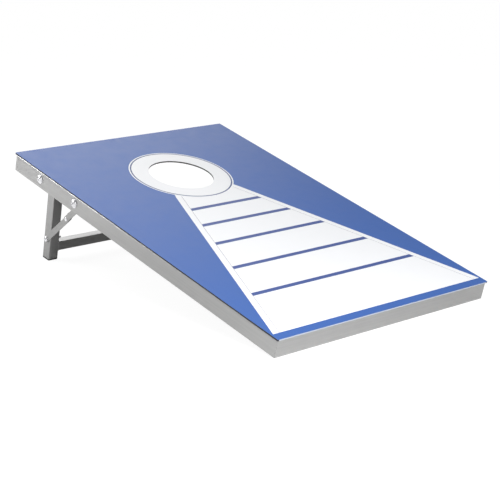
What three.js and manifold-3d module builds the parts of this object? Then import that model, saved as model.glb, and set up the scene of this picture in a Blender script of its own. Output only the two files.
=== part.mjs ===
// Folding cornhole board: a printed deck on a mitred aluminium tube frame, with a pair of
// fold-down back legs that two jointed stays hold open.
//
// Millimetres, +Z up. The board stands on its front rail and its two feet, the deck rises
// towards +Y, and the origin is on the ground under the middle of the footprint.
// Inside the board group, y runs from the deck's low front edge to its raised back edge and
// z is the height above the deck's upper face, so everything under the deck is negative.

import * as THREE from "three";
import { mergeVertices } from "three/addons/utils/BufferGeometryUtils.js";
import Module from "manifold-3d";

const wasm = await Module();
wasm.setup();

// ---------------------------------------------------------------- driving dimensions

const GAP = 0.3; // running gap between neighbouring pieces
const SLOPE = THREE.MathUtils.degToRad(13); // deck above the ground

const DECK_WIDTH = 610;
const DECK_LENGTH = 914;
const DECK_CORNER = 2;
const PRINT_THICKNESS = 0.4;
const PANEL_THICKNESS = 3;
const TAPE_THICKNESS = 0.5;
const TAPE_WIDTH = 15;

const BAG_HOLE_RADIUS = 76.2;
const BAG_HOLE_Y = 685;

const RAIL_WIDTH = 25;
const RAIL_HEIGHT = 38;
const RAIL_WALL = 1.5;
const RAIL_CORNER = 2;
const RAIL_INSET = 2.5; // deck overhang past the rails' outer faces
const KEY_ARM = 60; // corner key, along each rail
const CROSS_RAIL_Y = 430;
const CROSS_RAIL_HEIGHT = 20;
const BRACKET_ARM = 22;
const BRACKET_THICKNESS = 2;
const BRACKET_HEIGHT = 16;

const PIVOT_Y = 810; // leg pivot along the board
const PIVOT_DEPTH = 22; // leg pivot and stay pivot under the deck's upper face
const STAY_PIVOT_Y = 675;

const LEG_LEAN = THREE.MathUtils.degToRad(3); // feet swung forward of square to the deck
const LEG_SIZE = 25;
const LEG_WALL = 1.5;
const LEG_CORNER = 2;
const LEG_TOP = 9; // tube above the pivot
const LEG_OUTER = 269.5; // outer face from the middle of the board
const FOOT_FLANGE = 3.5;
const TOP_FLANGE = 2;
const PLUG_DEPTH = 4;
const FOOT_PLUG_DEPTH = 16;
const CROSSBAR_SIZE = 22;
const CROSSBAR_DROP = 170.5; // pivot to the crossbar's middle, down the leg
const STAY_DROP = 152; // pivot to the stay's bolt, down the leg

const LINK_WIDTH = 15;
const LINK_THICKNESS = 1.6;
const LINK_TAIL = 20; // lower link past the knee
const EAR_HEIGHT = 2.5; // finger ear on the lower link's tail
const EAR_LENGTH = 5;

const BOLT_RADIUS = 3;
const KNEE_RADIUS = 2.2;
const LEG_BOLT_RADIUS = 2.5;
const LEG_BOLT_TAIL = 12; // thread past the leg's inner face
const HEAD_RADIUS = 8.2;
const HEAD_HEIGHT = 3.2;
const LEG_HEAD_RADIUS = 6.5;
const KNEE_HEAD_RADIUS = 4.8;
const OUTER_WASHER_RADIUS = 10;
const SPACER_RADIUS = 8;
const INNER_WASHER_RADIUS = 7;
const WASHER_THICKNESS = 1.2;
const NUT_FLATS = 10;
const NUT_HEIGHT = 6;

const ROUND_STEPS = 16; // sides of a small turned piece
const HOLE_STEPS = 72; // sides of the bag hole
const CORNER_STEPS = 3; // steps in a tube's rounded corner

// ---------------------------------------------------------------- worked out from those

const RAIL_TOP = PRINT_THICKNESS + PANEL_THICKNESS + TAPE_THICKNESS + 3 * GAP;
const RAIL_OUTER = DECK_WIDTH / 2 - RAIL_INSET;
const RAIL_INNER = RAIL_OUTER - RAIL_WIDTH;
const MITRE_CLEARANCE = GAP / Math.SQRT2;
const LEG_INNER = LEG_OUTER - LEG_SIZE;

// Distances from the middle of the board to the inner and outer faces of the stay's layers.
const OUTER_WASHER = [RAIL_OUTER + GAP, RAIL_OUTER + GAP + WASHER_THICKNESS];
const HEAD_BASE = OUTER_WASHER[1] + GAP;
const RAIL_SPACER = [RAIL_INNER - GAP - WASHER_THICKNESS, RAIL_INNER - GAP];
const UPPER_LINK = [RAIL_SPACER[0] - GAP - LINK_THICKNESS, RAIL_SPACER[0] - GAP];
const LINK_GAP = [LEG_OUTER + 3.4, UPPER_LINK[0] - GAP];
const LOWER_LINK = [LINK_GAP[0] - GAP - LINK_THICKNESS, LINK_GAP[0] - GAP];
const LEG_WASHER = [LEG_OUTER + GAP, LOWER_LINK[0] - GAP];

// The front rail's lowest point under the deck's front edge, then the leg that reaches it.
const FRONT_DROP =
  (RAIL_TOP + RAIL_HEIGHT - RAIL_CORNER) * Math.cos(SLOPE) +
  RAIL_CORNER -
  (RAIL_INSET + RAIL_CORNER) * Math.sin(SLOPE);
const PIVOT_HEIGHT = PIVOT_Y * Math.sin(SLOPE) - PIVOT_DEPTH * Math.cos(SLOPE) + FRONT_DROP;
const LEG_TILT = SLOPE - LEG_LEAN;
const LEG_REACH = (PIVOT_HEIGHT - (LEG_SIZE / 2) * Math.sin(LEG_TILT)) / Math.cos(LEG_TILT);

// The stay runs straight from its rail pivot to its leg bolt when open. Folded flat, both
// links lie along the board, so their lengths differ by the distance between those two.
const STAY_RUN = PIVOT_Y - STAY_DROP * Math.sin(LEG_LEAN) - STAY_PIVOT_Y;
const STAY_FALL = STAY_DROP * Math.cos(LEG_LEAN);
const STAY_LENGTH = Math.hypot(STAY_RUN, STAY_FALL);
const STAY_ANGLE = -Math.atan2(STAY_FALL, STAY_RUN);
const KNEE = (STAY_LENGTH - (STAY_DROP - (PIVOT_Y - STAY_PIVOT_Y))) / 2;

// ---------------------------------------------------------------- materials

const finish = (color, metalness, roughness) =>
  new THREE.MeshStandardMaterial({ color, metalness, roughness });
const aluminium = finish(0xb4b4b3, 0.9, 0.42);
const zinc = finish(0xd2d6da, 0.9, 0.25);
const fibreboard = finish(0x2b2724, 0, 0.8);
const print = finish(0x4a68b0, 0, 0.35);
const blackPlastic = finish(0x161616, 0, 0.5);
const nylon = finish(0xe6e4dc, 0, 0.45);
const foamTape = finish(0x222222, 0, 0.9);

// ---------------------------------------------------------------- shapes and solids

const alongX = new THREE.Matrix4().makeBasis(
  new THREE.Vector3(0, 1, 0),
  new THREE.Vector3(0, 0, 1),
  new THREE.Vector3(1, 0, 0),
);

// A rounded rectangle from its low corner, as a shape or as a hole in one.
function roundedRectangle(path, x, y, width, height, radius) {
  const quarter = Math.PI / 2;
  path.moveTo(x + radius, y);
  path.absarc(x + width - radius, y + radius, radius, -quarter, 0);
  path.absarc(x + width - radius, y + height - radius, radius, 0, quarter);
  path.absarc(x + radius, y + height - radius, radius, quarter, 2 * quarter);
  path.absarc(x + radius, y + radius, radius, 2 * quarter, 3 * quarter);
  return path;
}

function circleHole(x, y, radius) {
  const hole = new THREE.Path();
  hole.absarc(x, y, radius, 0, 2 * Math.PI);
  return hole;
}

function extrude(shape, depth, curveSegments) {
  return new THREE.ExtrudeGeometry(shape, { depth, curveSegments, bevelEnabled: false });
}

function tubeSection(width, height, wall, corner) {
  const shape = roundedRectangle(new THREE.Shape(), 0, 0, width, height, corner);
  const inside = roundedRectangle(
    new THREE.Path(),
    wall,
    wall,
    width - 2 * wall,
    height - 2 * wall,
    corner - wall,
  );
  shape.holes.push(inside);
  return shape;
}

function solidOf(geometry) {
  const bare = geometry.clone();
  bare.deleteAttribute("normal");
  bare.deleteAttribute("uv");
  const merged = mergeVertices(bare, 1e-4);
  return new wasm.Manifold(
    new wasm.Mesh({
      numProp: 3,
      vertProperties: merged.attributes.position.array,
      triVerts: new Uint32Array(merged.index.array),
    }),
  );
}

function geometryOf(solid) {
  const { vertProperties, triVerts } = solid.getMesh();
  const geometry = new THREE.BufferGeometry();
  geometry.setAttribute("position", new THREE.BufferAttribute(vertProperties, 3));
  geometry.setIndex(new THREE.BufferAttribute(triVerts, 1));
  geometry.computeVertexNormals();
  return geometry;
}

// A cutter for a hole along x, from one distance to another.
function drill(radius, from, to, y, z) {
  const cutter = new THREE.CylinderGeometry(radius, radius, to - from, ROUND_STEPS);
  cutter.rotateZ(-Math.PI / 2);
  cutter.translate((from + to) / 2, y, z);
  return solidOf(cutter);
}

function addMesh(parent, name, geometry, material) {
  const mesh = new THREE.Mesh(geometry, material);
  mesh.name = name;
  parent.add(mesh);
  return mesh;
}

// A turned piece on an x axis. Its profile is [radius, distance from the board's middle]
// points, so the same profile serves both sides.
function turned(parent, name, profile, side, y, z, material) {
  const points = profile.map(([radius, out]) => new THREE.Vector2(radius, out));
  const mesh = addMesh(parent, name, new THREE.LatheGeometry(points, ROUND_STEPS), material);
  mesh.rotation.z = (-side * Math.PI) / 2;
  mesh.position.set(0, y, z);
  return mesh;
}

function ring(inner, outer, [near, far]) {
  return [
    [inner, near],
    [outer, near],
    [outer, far],
    [inner, far],
    [inner, near],
  ];
}

// A low dome as profile points, from its rim to its crown.
function dome(radius, base, height) {
  const points = [];
  for (let step = 0; step <= 3; step++) {
    const turn = (step * Math.PI) / 6;
    points.push([radius * Math.cos(turn), base + height * (0.25 + 0.75 * Math.sin(turn))]);
  }
  points[3][0] = 0;
  return [[radius, base], ...points];
}

// ---------------------------------------------------------------- the board

const board = new THREE.Group();
board.rotation.x = SLOPE;

const sides = [
  { name: "left", side: -1 },
  { name: "right", side: 1 },
];

function addDeck() {
  const outline = (shape) =>
    roundedRectangle(shape, -DECK_WIDTH / 2, 0, DECK_WIDTH, DECK_LENGTH, DECK_CORNER);
  const layer = (name, thickness, top, material) => {
    const shape = outline(new THREE.Shape());
    shape.holes.push(circleHole(0, BAG_HOLE_Y, BAG_HOLE_RADIUS));
    const mesh = addMesh(board, name, extrude(shape, thickness, HOLE_STEPS / 2), material);
    mesh.position.z = top - thickness;
  };
  layer("deck_print", PRINT_THICKNESS, 0, print);
  layer("deck_panel", PANEL_THICKNESS, -PRINT_THICKNESS - GAP, fibreboard);
}

// A rail with its outer face on y = 0, its body towards +y, its length along x and its
// ends mitred.
function railGeometry(length) {
  const section = tubeSection(RAIL_WIDTH, RAIL_HEIGHT, RAIL_WALL, RAIL_CORNER);
  const geometry = extrude(section, length - 2 * MITRE_CLEARANCE, CORNER_STEPS);
  const at = geometry.attributes.position;
  for (let i = 0; i < at.count; i++) {
    const start = at.getZ(i) < length / 2;
    at.setZ(i, at.getZ(i) + (start ? at.getX(i) : -at.getX(i)));
  }
  geometry.translate(0, 0, MITRE_CLEARANCE - length / 2);
  return geometry.applyMatrix4(alongX);
}

// Turns a geometry built for the front rail to one of the four sides of the frame.
function toSide(geometry, quarterTurns, distance) {
  geometry.translate(0, -distance, 0);
  geometry.rotateZ((quarterTurns * Math.PI) / 2);
  geometry.translate(0, DECK_LENGTH / 2, 0);
  return geometry;
}

const FRAME_LENGTH = DECK_LENGTH - 2 * RAIL_INSET;
const frameSides = [
  { name: "front", turns: 0, length: 2 * RAIL_OUTER, distance: FRAME_LENGTH / 2 },
  { name: "right", turns: 1, length: FRAME_LENGTH, distance: RAIL_OUTER },
  { name: "back", turns: 2, length: 2 * RAIL_OUTER, distance: FRAME_LENGTH / 2 },
  { name: "left", turns: 3, length: FRAME_LENGTH, distance: RAIL_OUTER },
];

function addRails() {
  for (const { name, turns, length, distance } of frameSides) {
    let geometry = railGeometry(length);
    geometry.translate(0, 0, -RAIL_TOP - RAIL_HEIGHT);
    geometry = toSide(geometry, turns, distance);
    if (turns % 2) {
      const from = turns === 1 ? RAIL_INNER - 1 : -RAIL_OUTER - 1;
      const to = from + RAIL_WIDTH + 2;
      let rail = solidOf(geometry);
      for (const y of [PIVOT_Y, STAY_PIVOT_Y])
        rail = rail.subtract(drill(BOLT_RADIUS + GAP, from, to, y, -PIVOT_DEPTH));
      geometry = geometryOf(rail);
    }
    addMesh(board, name + "_rail", geometry, aluminium);
  }
}

// L-shaped keys that fill the hollow corners of the frame.
function addCornerKeys() {
  const clear = RAIL_WALL + GAP;
  const width = RAIL_WIDTH - 2 * clear;
  const height = RAIL_HEIGHT - 2 * clear;
  const names = ["front_left", "front_right", "back_right", "back_left"];
  names.forEach((name, turns) => {
    const shape = new THREE.Shape();
    shape.moveTo(0, 0);
    shape.lineTo(KEY_ARM, 0);
    shape.lineTo(KEY_ARM, width);
    shape.lineTo(width, width);
    shape.lineTo(width, KEY_ARM);
    shape.lineTo(0, KEY_ARM);
    const key = addMesh(board, "corner_key_" + name, extrude(shape, height, 1), blackPlastic);
    const right = turns === 1 || turns === 2 ? 1 : -1;
    const back = turns > 1 ? 1 : -1;
    key.rotation.z = (turns * Math.PI) / 2;
    key.position.set(
      right * (RAIL_OUTER - clear),
      DECK_LENGTH / 2 + back * (FRAME_LENGTH / 2 - clear),
      -RAIL_TOP - RAIL_HEIGHT + clear,
    );
  });
}

// Bonding tape along the top of each rail, butted inside the front and back strips.
function addTapes() {
  const setIn = (RAIL_WIDTH - TAPE_WIDTH) / 2;
  const level = -RAIL_TOP + GAP;
  for (const { name, turns, length, distance } of frameSides) {
    const run = turns % 2 ? length - 2 * (setIn + TAPE_WIDTH + GAP) : length - 2 * setIn;
    const tape = new THREE.BoxGeometry(run, TAPE_WIDTH, TAPE_THICKNESS);
    tape.translate(0, RAIL_WIDTH / 2, level + TAPE_THICKNESS / 2);
    addMesh(board, "deck_tape_" + name, toSide(tape, turns, distance), foamTape);
  }
  const middleRun = 2 * (RAIL_INNER - GAP);
  const middle = new THREE.BoxGeometry(middleRun, TAPE_WIDTH, TAPE_THICKNESS);
  middle.translate(0, CROSS_RAIL_Y, level + TAPE_THICKNESS / 2);
  addMesh(board, "deck_tape_middle", middle, foamTape);
}

// The rail across the middle, under the deck, with an angle bracket riveted at each end.
function addCrossRail() {
  const length = 2 * (RAIL_INNER - GAP);
  const low = -RAIL_TOP - CROSS_RAIL_HEIGHT;
  const section = tubeSection(RAIL_WIDTH, CROSS_RAIL_HEIGHT, RAIL_WALL, RAIL_CORNER);
  const geometry = extrude(section, length, CORNER_STEPS);
  geometry.translate(0, 0, -length / 2);
  geometry.applyMatrix4(alongX);
  const front = CROSS_RAIL_Y - RAIL_WIDTH / 2;
  geometry.translate(0, front, low);
  const rivetZ = low + CROSS_RAIL_HEIGHT / 2;
  let tube = solidOf(geometry);
  for (const { name, side } of sides) {
    const reach = BRACKET_THICKNESS + GAP;
    const outer = side * (RAIL_INNER - GAP);
    const rivetX = outer - side * (reach + BRACKET_ARM / 2);
    const cutter = new THREE.CylinderGeometry(1.8, 1.8, 2 * RAIL_WALL + 2, ROUND_STEPS);
    cutter.translate(rivetX, front, rivetZ);
    tube = tube.subtract(solidOf(cutter));

    const shape = new THREE.Shape();
    shape.moveTo(0, 0);
    shape.lineTo(-side * BRACKET_ARM, 0);
    shape.lineTo(-side * BRACKET_ARM, -BRACKET_THICKNESS);
    shape.lineTo(-side * BRACKET_THICKNESS, -BRACKET_THICKNESS);
    shape.lineTo(-side * BRACKET_THICKNESS, -BRACKET_ARM);
    shape.lineTo(0, -BRACKET_ARM);
    const angle = extrude(shape, BRACKET_HEIGHT, 1);
    angle.translate(outer, front - GAP, rivetZ - BRACKET_HEIGHT / 2);
    const hole = new THREE.CylinderGeometry(1.8, 1.8, 3 * BRACKET_THICKNESS, ROUND_STEPS);
    hole.translate(rivetX, front - GAP, rivetZ);
    const bracket = geometryOf(solidOf(angle).subtract(solidOf(hole)));
    addMesh(board, "cross_rail_bracket_" + name, bracket, aluminium);

    const rivet = new THREE.LatheGeometry(
      [
        new THREE.Vector2(0, -RAIL_WALL - GAP - 2),
        new THREE.Vector2(2.4, -RAIL_WALL - GAP - 2),
        new THREE.Vector2(2.4, -RAIL_WALL - GAP),
        new THREE.Vector2(1.5, -RAIL_WALL - GAP),
        new THREE.Vector2(1.5, BRACKET_THICKNESS + 2 * GAP),
        new THREE.Vector2(3.2, BRACKET_THICKNESS + 2 * GAP),
        new THREE.Vector2(2, BRACKET_THICKNESS + 2 * GAP + 1),
        new THREE.Vector2(0, BRACKET_THICKNESS + 2 * GAP + 1.3),
      ],
      ROUND_STEPS,
    );
    const pin = addMesh(board, "cross_rail_rivet_" + name, rivet, zinc);
    pin.rotation.x = Math.PI;
    pin.position.set(rivetX, front, rivetZ);
  }
  addMesh(board, "cross_rail", geometryOf(tube), aluminium);
}

// ---------------------------------------------------------------- the fasteners in the rails

// A domed bolt as profile points, from its shank's tip to its crown.
function bolt(shank, tip, head, headRadius, headHeight) {
  return [
    [0, tip],
    [shank - 0.6, tip],
    [shank, tip + 0.6],
    [shank, head],
    ...dome(headRadius, head, headHeight),
  ];
}

// A hexagon nut whose outward face is the given distance from the board's middle.
function addNut(parent, name, side, face, bore, y, z) {
  const hexagon = new THREE.Shape();
  const corner = NUT_FLATS / Math.sqrt(3);
  for (let i = 0; i < 6; i++) {
    const turn = (i * Math.PI) / 3;
    hexagon[i ? "lineTo" : "moveTo"](corner * Math.cos(turn), corner * Math.sin(turn));
  }
  hexagon.holes.push(circleHole(0, 0, bore));
  const nut = extrude(hexagon, NUT_HEIGHT, ROUND_STEPS / 2).applyMatrix4(alongX);
  addMesh(parent, name, nut, zinc).position.set(side > 0 ? face - NUT_HEIGHT : -face, y, z);
}

function addLegPivot({ name, side }) {
  const place = [side, PIVOT_Y, -PIVOT_DEPTH];
  const nutTop = LEG_INNER - 2 * GAP - WASHER_THICKNESS;
  const bore = BOLT_RADIUS + GAP;
  const tip = nutTop - NUT_HEIGHT - 1;
  const profile = bolt(BOLT_RADIUS, tip, HEAD_BASE, HEAD_RADIUS, HEAD_HEIGHT);
  turned(board, "leg_pivot_bolt_" + name, profile, ...place, zinc);
  const outer = ring(bore, OUTER_WASHER_RADIUS, OUTER_WASHER);
  turned(board, "leg_pivot_washer_" + name, outer, ...place, zinc);
  const spacer = ring(bore, SPACER_RADIUS, [LEG_OUTER + GAP, RAIL_INNER - GAP]);
  turned(board, "leg_pivot_spacer_" + name, spacer, ...place, nylon);
  const inner = ring(bore, INNER_WASHER_RADIUS, [nutTop + GAP, nutTop + GAP + WASHER_THICKNESS]);
  turned(board, "leg_pivot_inner_washer_" + name, inner, ...place, zinc);
  addNut(board, "leg_pivot_nut_" + name, side, nutTop, bore, PIVOT_Y, -PIVOT_DEPTH);
}

function addStayPivot({ name, side }) {
  const place = [side, STAY_PIVOT_Y, -PIVOT_DEPTH];
  const bore = BOLT_RADIUS + GAP;
  const tail = UPPER_LINK[0] - GAP;
  const profile = [
    [0, LINK_GAP[0]],
    [5, LINK_GAP[0]],
    [5.5, tail],
    [BOLT_RADIUS, tail],
    [BOLT_RADIUS, HEAD_BASE],
    ...dome(HEAD_RADIUS, HEAD_BASE, HEAD_HEIGHT),
  ];
  turned(board, "stay_rail_rivet_" + name, profile, ...place, zinc);
  const washer = ring(bore, OUTER_WASHER_RADIUS, OUTER_WASHER);
  turned(board, "stay_rail_washer_" + name, washer, ...place, zinc);
  const spacer = ring(bore, INNER_WASHER_RADIUS, RAIL_SPACER);
  turned(board, "stay_rail_spacer_" + name, spacer, ...place, nylon);
}

// ---------------------------------------------------------------- the legs

// Local frame: the pivot axis is x and the legs hang along -z.
const legFrame = new THREE.Group();
legFrame.position.set(0, PIVOT_Y, -PIVOT_DEPTH);
legFrame.rotation.x = -LEG_LEAN;
board.add(legFrame);

// A square tube end plug with its flange's outer face at z = 0 and its insert towards +z.
function endPlug(flange, depth) {
  const inset = LEG_WALL + GAP;
  const size = LEG_SIZE - 2 * inset;
  const half = LEG_SIZE / 2;
  const rim = roundedRectangle(new THREE.Shape(), -half, -half, LEG_SIZE, LEG_SIZE, LEG_CORNER);
  const insert = new THREE.BoxGeometry(size, size, depth + 1);
  insert.translate(0, 0, flange + (depth - 1) / 2);
  return geometryOf(solidOf(extrude(rim, flange, CORNER_STEPS)).add(solidOf(insert)));
}

function addLeg({ name, side }) {
  const x = side * (LEG_OUTER - LEG_SIZE / 2);
  const bottom = FOOT_FLANGE + GAP - LEG_REACH;
  const section = tubeSection(LEG_SIZE, LEG_SIZE, LEG_WALL, LEG_CORNER);
  const geometry = extrude(section, LEG_TOP - bottom, CORNER_STEPS);
  geometry.translate(x - LEG_SIZE / 2, -LEG_SIZE / 2, bottom);
  const near = Math.min(side * LEG_INNER, side * LEG_OUTER) - 1;
  const far = near + LEG_SIZE + 2;
  const tube = solidOf(geometry)
    .subtract(drill(BOLT_RADIUS + GAP, near, far, 0, 0))
    .subtract(drill(LEG_BOLT_RADIUS + GAP, near, far, 0, -STAY_DROP));
  addMesh(legFrame, "leg_tube_" + name, geometryOf(tube), aluminium);

  const cap = endPlug(FOOT_FLANGE, FOOT_PLUG_DEPTH);
  const foot = addMesh(legFrame, "foot_cap_" + name, cap, blackPlastic);
  foot.position.set(x, 0, -LEG_REACH);
  const topCap = endPlug(TOP_FLANGE, PLUG_DEPTH);
  const plug = addMesh(legFrame, "leg_top_plug_" + name, topCap, blackPlastic);
  plug.rotation.x = Math.PI;
  plug.position.set(x, 0, LEG_TOP + GAP + TOP_FLANGE);
}

function addCrossbar() {
  const length = 2 * (LEG_INNER - GAP);
  const section = tubeSection(CROSSBAR_SIZE, CROSSBAR_SIZE, LEG_WALL, LEG_CORNER);
  const geometry = extrude(section, length, CORNER_STEPS);
  geometry.translate(-CROSSBAR_SIZE / 2, -CROSSBAR_SIZE / 2, -length / 2);
  geometry.applyMatrix4(alongX);
  addMesh(legFrame, "leg_crossbar", geometry, aluminium).position.z = -CROSSBAR_DROP;
}

// The stay's bolt goes through both walls of the leg to a nut on its inner face.
function addLegBolt({ name, side }) {
  const place = [side, 0, -STAY_DROP];
  const bore = LEG_BOLT_RADIUS + GAP;
  const tip = LEG_INNER - LEG_BOLT_TAIL;
  const profile = bolt(LEG_BOLT_RADIUS, tip, LOWER_LINK[1] + GAP, LEG_HEAD_RADIUS, 3);
  turned(legFrame, "stay_leg_bolt_" + name, profile, ...place, zinc);
  turned(legFrame, "stay_leg_washer_" + name, ring(bore, 6, LEG_WASHER), ...place, nylon);
  addNut(legFrame, "stay_leg_nut_" + name, side, LEG_INNER - GAP, bore, 0, -STAY_DROP);
}

// ---------------------------------------------------------------- the stays

// Local frame: x is the pivot axis and +y runs from the rail pivot to the leg bolt.
function addStay({ name, side }) {
  const stay = new THREE.Group();
  stay.position.set(0, STAY_PIVOT_Y, -PIVOT_DEPTH);
  stay.rotation.x = STAY_ANGLE;
  board.add(stay);

  const half = LINK_WIDTH / 2;
  const quarter = Math.PI / 2;
  const bar = (label, shape, [near, far]) => {
    const geometry = extrude(shape, far - near, ROUND_STEPS / 2).applyMatrix4(alongX);
    addMesh(stay, label, geometry, aluminium).position.x = side > 0 ? near : -far;
  };

  const upper = new THREE.Shape();
  upper.absarc(KNEE, 0, half, -quarter, quarter);
  upper.absarc(0, 0, half, quarter, 3 * quarter);
  upper.holes.push(circleHole(0, 0, BOLT_RADIUS + GAP));
  upper.holes.push(circleHole(KNEE, 0, KNEE_RADIUS + GAP));
  bar("stay_upper_link_" + name, upper, UPPER_LINK);

  const tip = KNEE - LINK_TAIL + half;
  const lower = new THREE.Shape();
  lower.absarc(STAY_LENGTH, 0, half, -quarter, quarter);
  lower.lineTo(tip + EAR_LENGTH, half);
  lower.lineTo(tip + EAR_LENGTH - 1, half + EAR_HEIGHT);
  lower.lineTo(tip - 1, half + EAR_HEIGHT);
  lower.absarc(tip, 0, half, 1.2 * quarter, 3 * quarter);
  lower.holes.push(circleHole(KNEE, 0, KNEE_RADIUS + GAP));
  lower.holes.push(circleHole(STAY_LENGTH, 0, LEG_BOLT_RADIUS + GAP));
  bar("stay_lower_link_" + name, lower, LOWER_LINK);

  // The knee rivet is in two halves, one in each link, that meet face to face when open.
  const middle = (LINK_GAP[0] + LINK_GAP[1]) / 2;
  const headBase = UPPER_LINK[1] + GAP;
  const head = [
    [0, middle + GAP / 2],
    [KNEE_RADIUS, middle + GAP / 2],
    [KNEE_RADIUS, headBase],
    ...dome(KNEE_HEAD_RADIUS, headBase, RAIL_INNER - 0.5 - headBase),
  ];
  turned(stay, "knee_rivet_head_" + name, head, side, KNEE, 0, zinc);
  const tail = [
    [0, LEG_WASHER[0]],
    [3.6, LEG_WASHER[0]],
    [4, LEG_WASHER[1]],
    [KNEE_RADIUS, LEG_WASHER[1]],
    [KNEE_RADIUS, middle - GAP / 2],
    [0, middle - GAP / 2],
  ];
  turned(stay, "knee_rivet_tail_" + name, tail, side, KNEE, 0, zinc);
}

// ---------------------------------------------------------------- assembly

addDeck();
addRails();
addCornerKeys();
addTapes();
addCrossRail();
addCrossbar();
for (const side of sides) {
  addLegPivot(side);
  addStayPivot(side);
  addLeg(side);
  addLegBolt(side);
  addStay(side);
}

const reach = new THREE.Box3().setFromObject(board, true);
board.position.set(0, -(reach.min.y + reach.max.y) / 2, -reach.min.z);

const cornholeBoard = new THREE.Group();
cornholeBoard.name = "cornhole_board";
cornholeBoard.add(board);

export default cornholeBoard;
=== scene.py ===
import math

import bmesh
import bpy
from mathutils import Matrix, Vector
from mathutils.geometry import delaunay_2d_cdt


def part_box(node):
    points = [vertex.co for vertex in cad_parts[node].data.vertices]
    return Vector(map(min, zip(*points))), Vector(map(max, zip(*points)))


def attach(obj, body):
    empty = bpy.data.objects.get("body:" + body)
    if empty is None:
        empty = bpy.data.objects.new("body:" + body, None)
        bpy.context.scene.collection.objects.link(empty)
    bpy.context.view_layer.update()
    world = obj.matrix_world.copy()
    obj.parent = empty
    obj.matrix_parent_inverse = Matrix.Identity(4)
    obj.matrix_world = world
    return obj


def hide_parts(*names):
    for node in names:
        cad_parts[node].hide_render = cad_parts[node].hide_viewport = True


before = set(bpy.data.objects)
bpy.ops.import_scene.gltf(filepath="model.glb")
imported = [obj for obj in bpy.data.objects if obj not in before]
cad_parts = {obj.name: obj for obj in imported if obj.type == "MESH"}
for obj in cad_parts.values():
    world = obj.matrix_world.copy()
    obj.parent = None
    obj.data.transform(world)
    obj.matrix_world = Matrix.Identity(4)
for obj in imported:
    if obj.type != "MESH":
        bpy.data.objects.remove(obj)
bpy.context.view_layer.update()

# Folding cornhole board: the visible pieces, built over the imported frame. Blender's units are
# metres, with +Z up. Each piece is drawn in millimetres in the frame of the group it belongs
# to, and scaled to metres when it becomes a mesh:
#   BOARD  x across, y from the deck's low front edge to its back edge, z up from the deck face
#   LEG    the leg pivot is the origin and the legs hang along -z
#   STAY   the stay's rail pivot is the origin and +y runs down to its bolt in the leg

MM = 0.001
SIDES = (("left", -1), ("right", 1))
# A Mix node has sockets for each kind of data, and these are the ones for colour.
MIX_A = 6
MIX_B = 7
MIX_RESULT = 2
# Faces that meet at a wider angle keep a hard edge between them.
SHARP_ANGLE = math.radians(32)

# ------------------------------------------------------------------ dimensions, millimetres

# The gap between pieces that meet.
GAP = 0.3

SLOPE = math.radians(13)
DECK_WIDTH = 610
DECK_LENGTH = 914
DECK_CORNER = 2
PRINT_THICKNESS = 0.4
PRINT_EDGE = 0.12
PANEL_BOTTOM = -3.7
PANEL_EDGE = 0.5
HOLE_RADIUS = 76.2
HOLE_Y = 685

RAIL_WIDTH = 25
RAIL_HEIGHT = 38
RAIL_TOP = -4.8
RAIL_INSET = 2.5
RAIL_OUTER = DECK_WIDTH / 2 - RAIL_INSET
RAIL_INNER = RAIL_OUTER - RAIL_WIDTH
RAIL_RUN = DECK_LENGTH - 2 * RAIL_INSET
TUBE_WALL = 1.5
TUBE_CORNER = 2
TUBE_INNER_CORNER = 0.6
TUBE_END_EDGE = 0.25
FRAME_CORNER = 2.5
MITRE_ANGLE = 45
MITRE_GAP = 0.15
CROSS_RAIL_Y = 430
CROSS_RAIL_HEIGHT = 20
BRACKET_ARM = 22
BRACKET_THICKNESS = 2
BRACKET_HEIGHT = 16
TAPE_WIDTH = 15
TAPE_EDGE = 0.3

PIVOT_Y = 810
PIVOT_Z = -22
STAY_PIVOT_Y = 675
LEG_LEAN = math.radians(3)
LEG_SIZE = 25
LEG_TOP = 9
LEG_OUTER = 269.5
LEG_INNER = LEG_OUTER - LEG_SIZE
CROSSBAR_SIZE = 22
CROSSBAR_DROP = 170.5
STAY_DROP = 152
FOOT_FLANGE = 3.5
PLUG_FLANGE = 2
LINK_WIDTH = 15
LINK_THICKNESS = 1.6
LINK_EDGE = 0.35
UPPER_LINK = (274.1, 275.7)
LOWER_LINK = (271.0, 272.6)

STAY_RUN = PIVOT_Y - STAY_DROP * math.sin(LEG_LEAN) - STAY_PIVOT_Y
STAY_FALL = STAY_DROP * math.cos(LEG_LEAN)
STAY_LENGTH = math.hypot(STAY_RUN, STAY_FALL)
STAY_ANGLE = -math.atan2(STAY_FALL, STAY_RUN)
# The knee is where the two links also meet when the leg is folded flat along the rail.
KNEE = (STAY_LENGTH - (STAY_DROP - (PIVOT_Y - STAY_PIVOT_Y))) / 2

# Fasteners: radii of bores, shanks, heads and washers, and sizes along the shank.
PIVOT_BORE = 3.3
PIVOT_SHANK = 3
PIVOT_HEAD = 8.2
PIVOT_HEAD_TOP = 307.5
PIVOT_RECESS = 2.7
PIVOT_WASHER = 10
PIVOT_WASHER_THICKNESS = 1.5
PIVOT_INNER_WASHER = 7
PIVOT_SPACER = 8
STAY_PIVOT_SPACER = 7
BOLT_BORE = 2.8
BOLT_SHANK = 2.5
BOLT_WASHER = 6
KNEE_BORE = 2.5
KNEE_SHANK = 2.3
NUT_HEIGHT = 6
NUT_FLATS = 10
NUT_THREAD_GAP = 0.02
DRILL_MARGIN = 5

# The printed pattern. The lane's half width shrinks by its taper from the front strip on.
STRIP_Y = 20.5
LANE_AT_STRIP = 299.3
LANE_TAPER = 0.3657
RULE_INSET = 15.8
RULE_WIDTH = 1
BAR_WIDTH = 11
BAR_CENTRES = (160, 265.6, 367, 448, 521)
RING_LINE = (116.1, 119.5)
RING_RADIUS = 122.4

# ------------------------------------------------------------------ frames

print_low, print_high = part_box("deck_print")
foot_low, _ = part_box("foot_cap_left")
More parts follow.
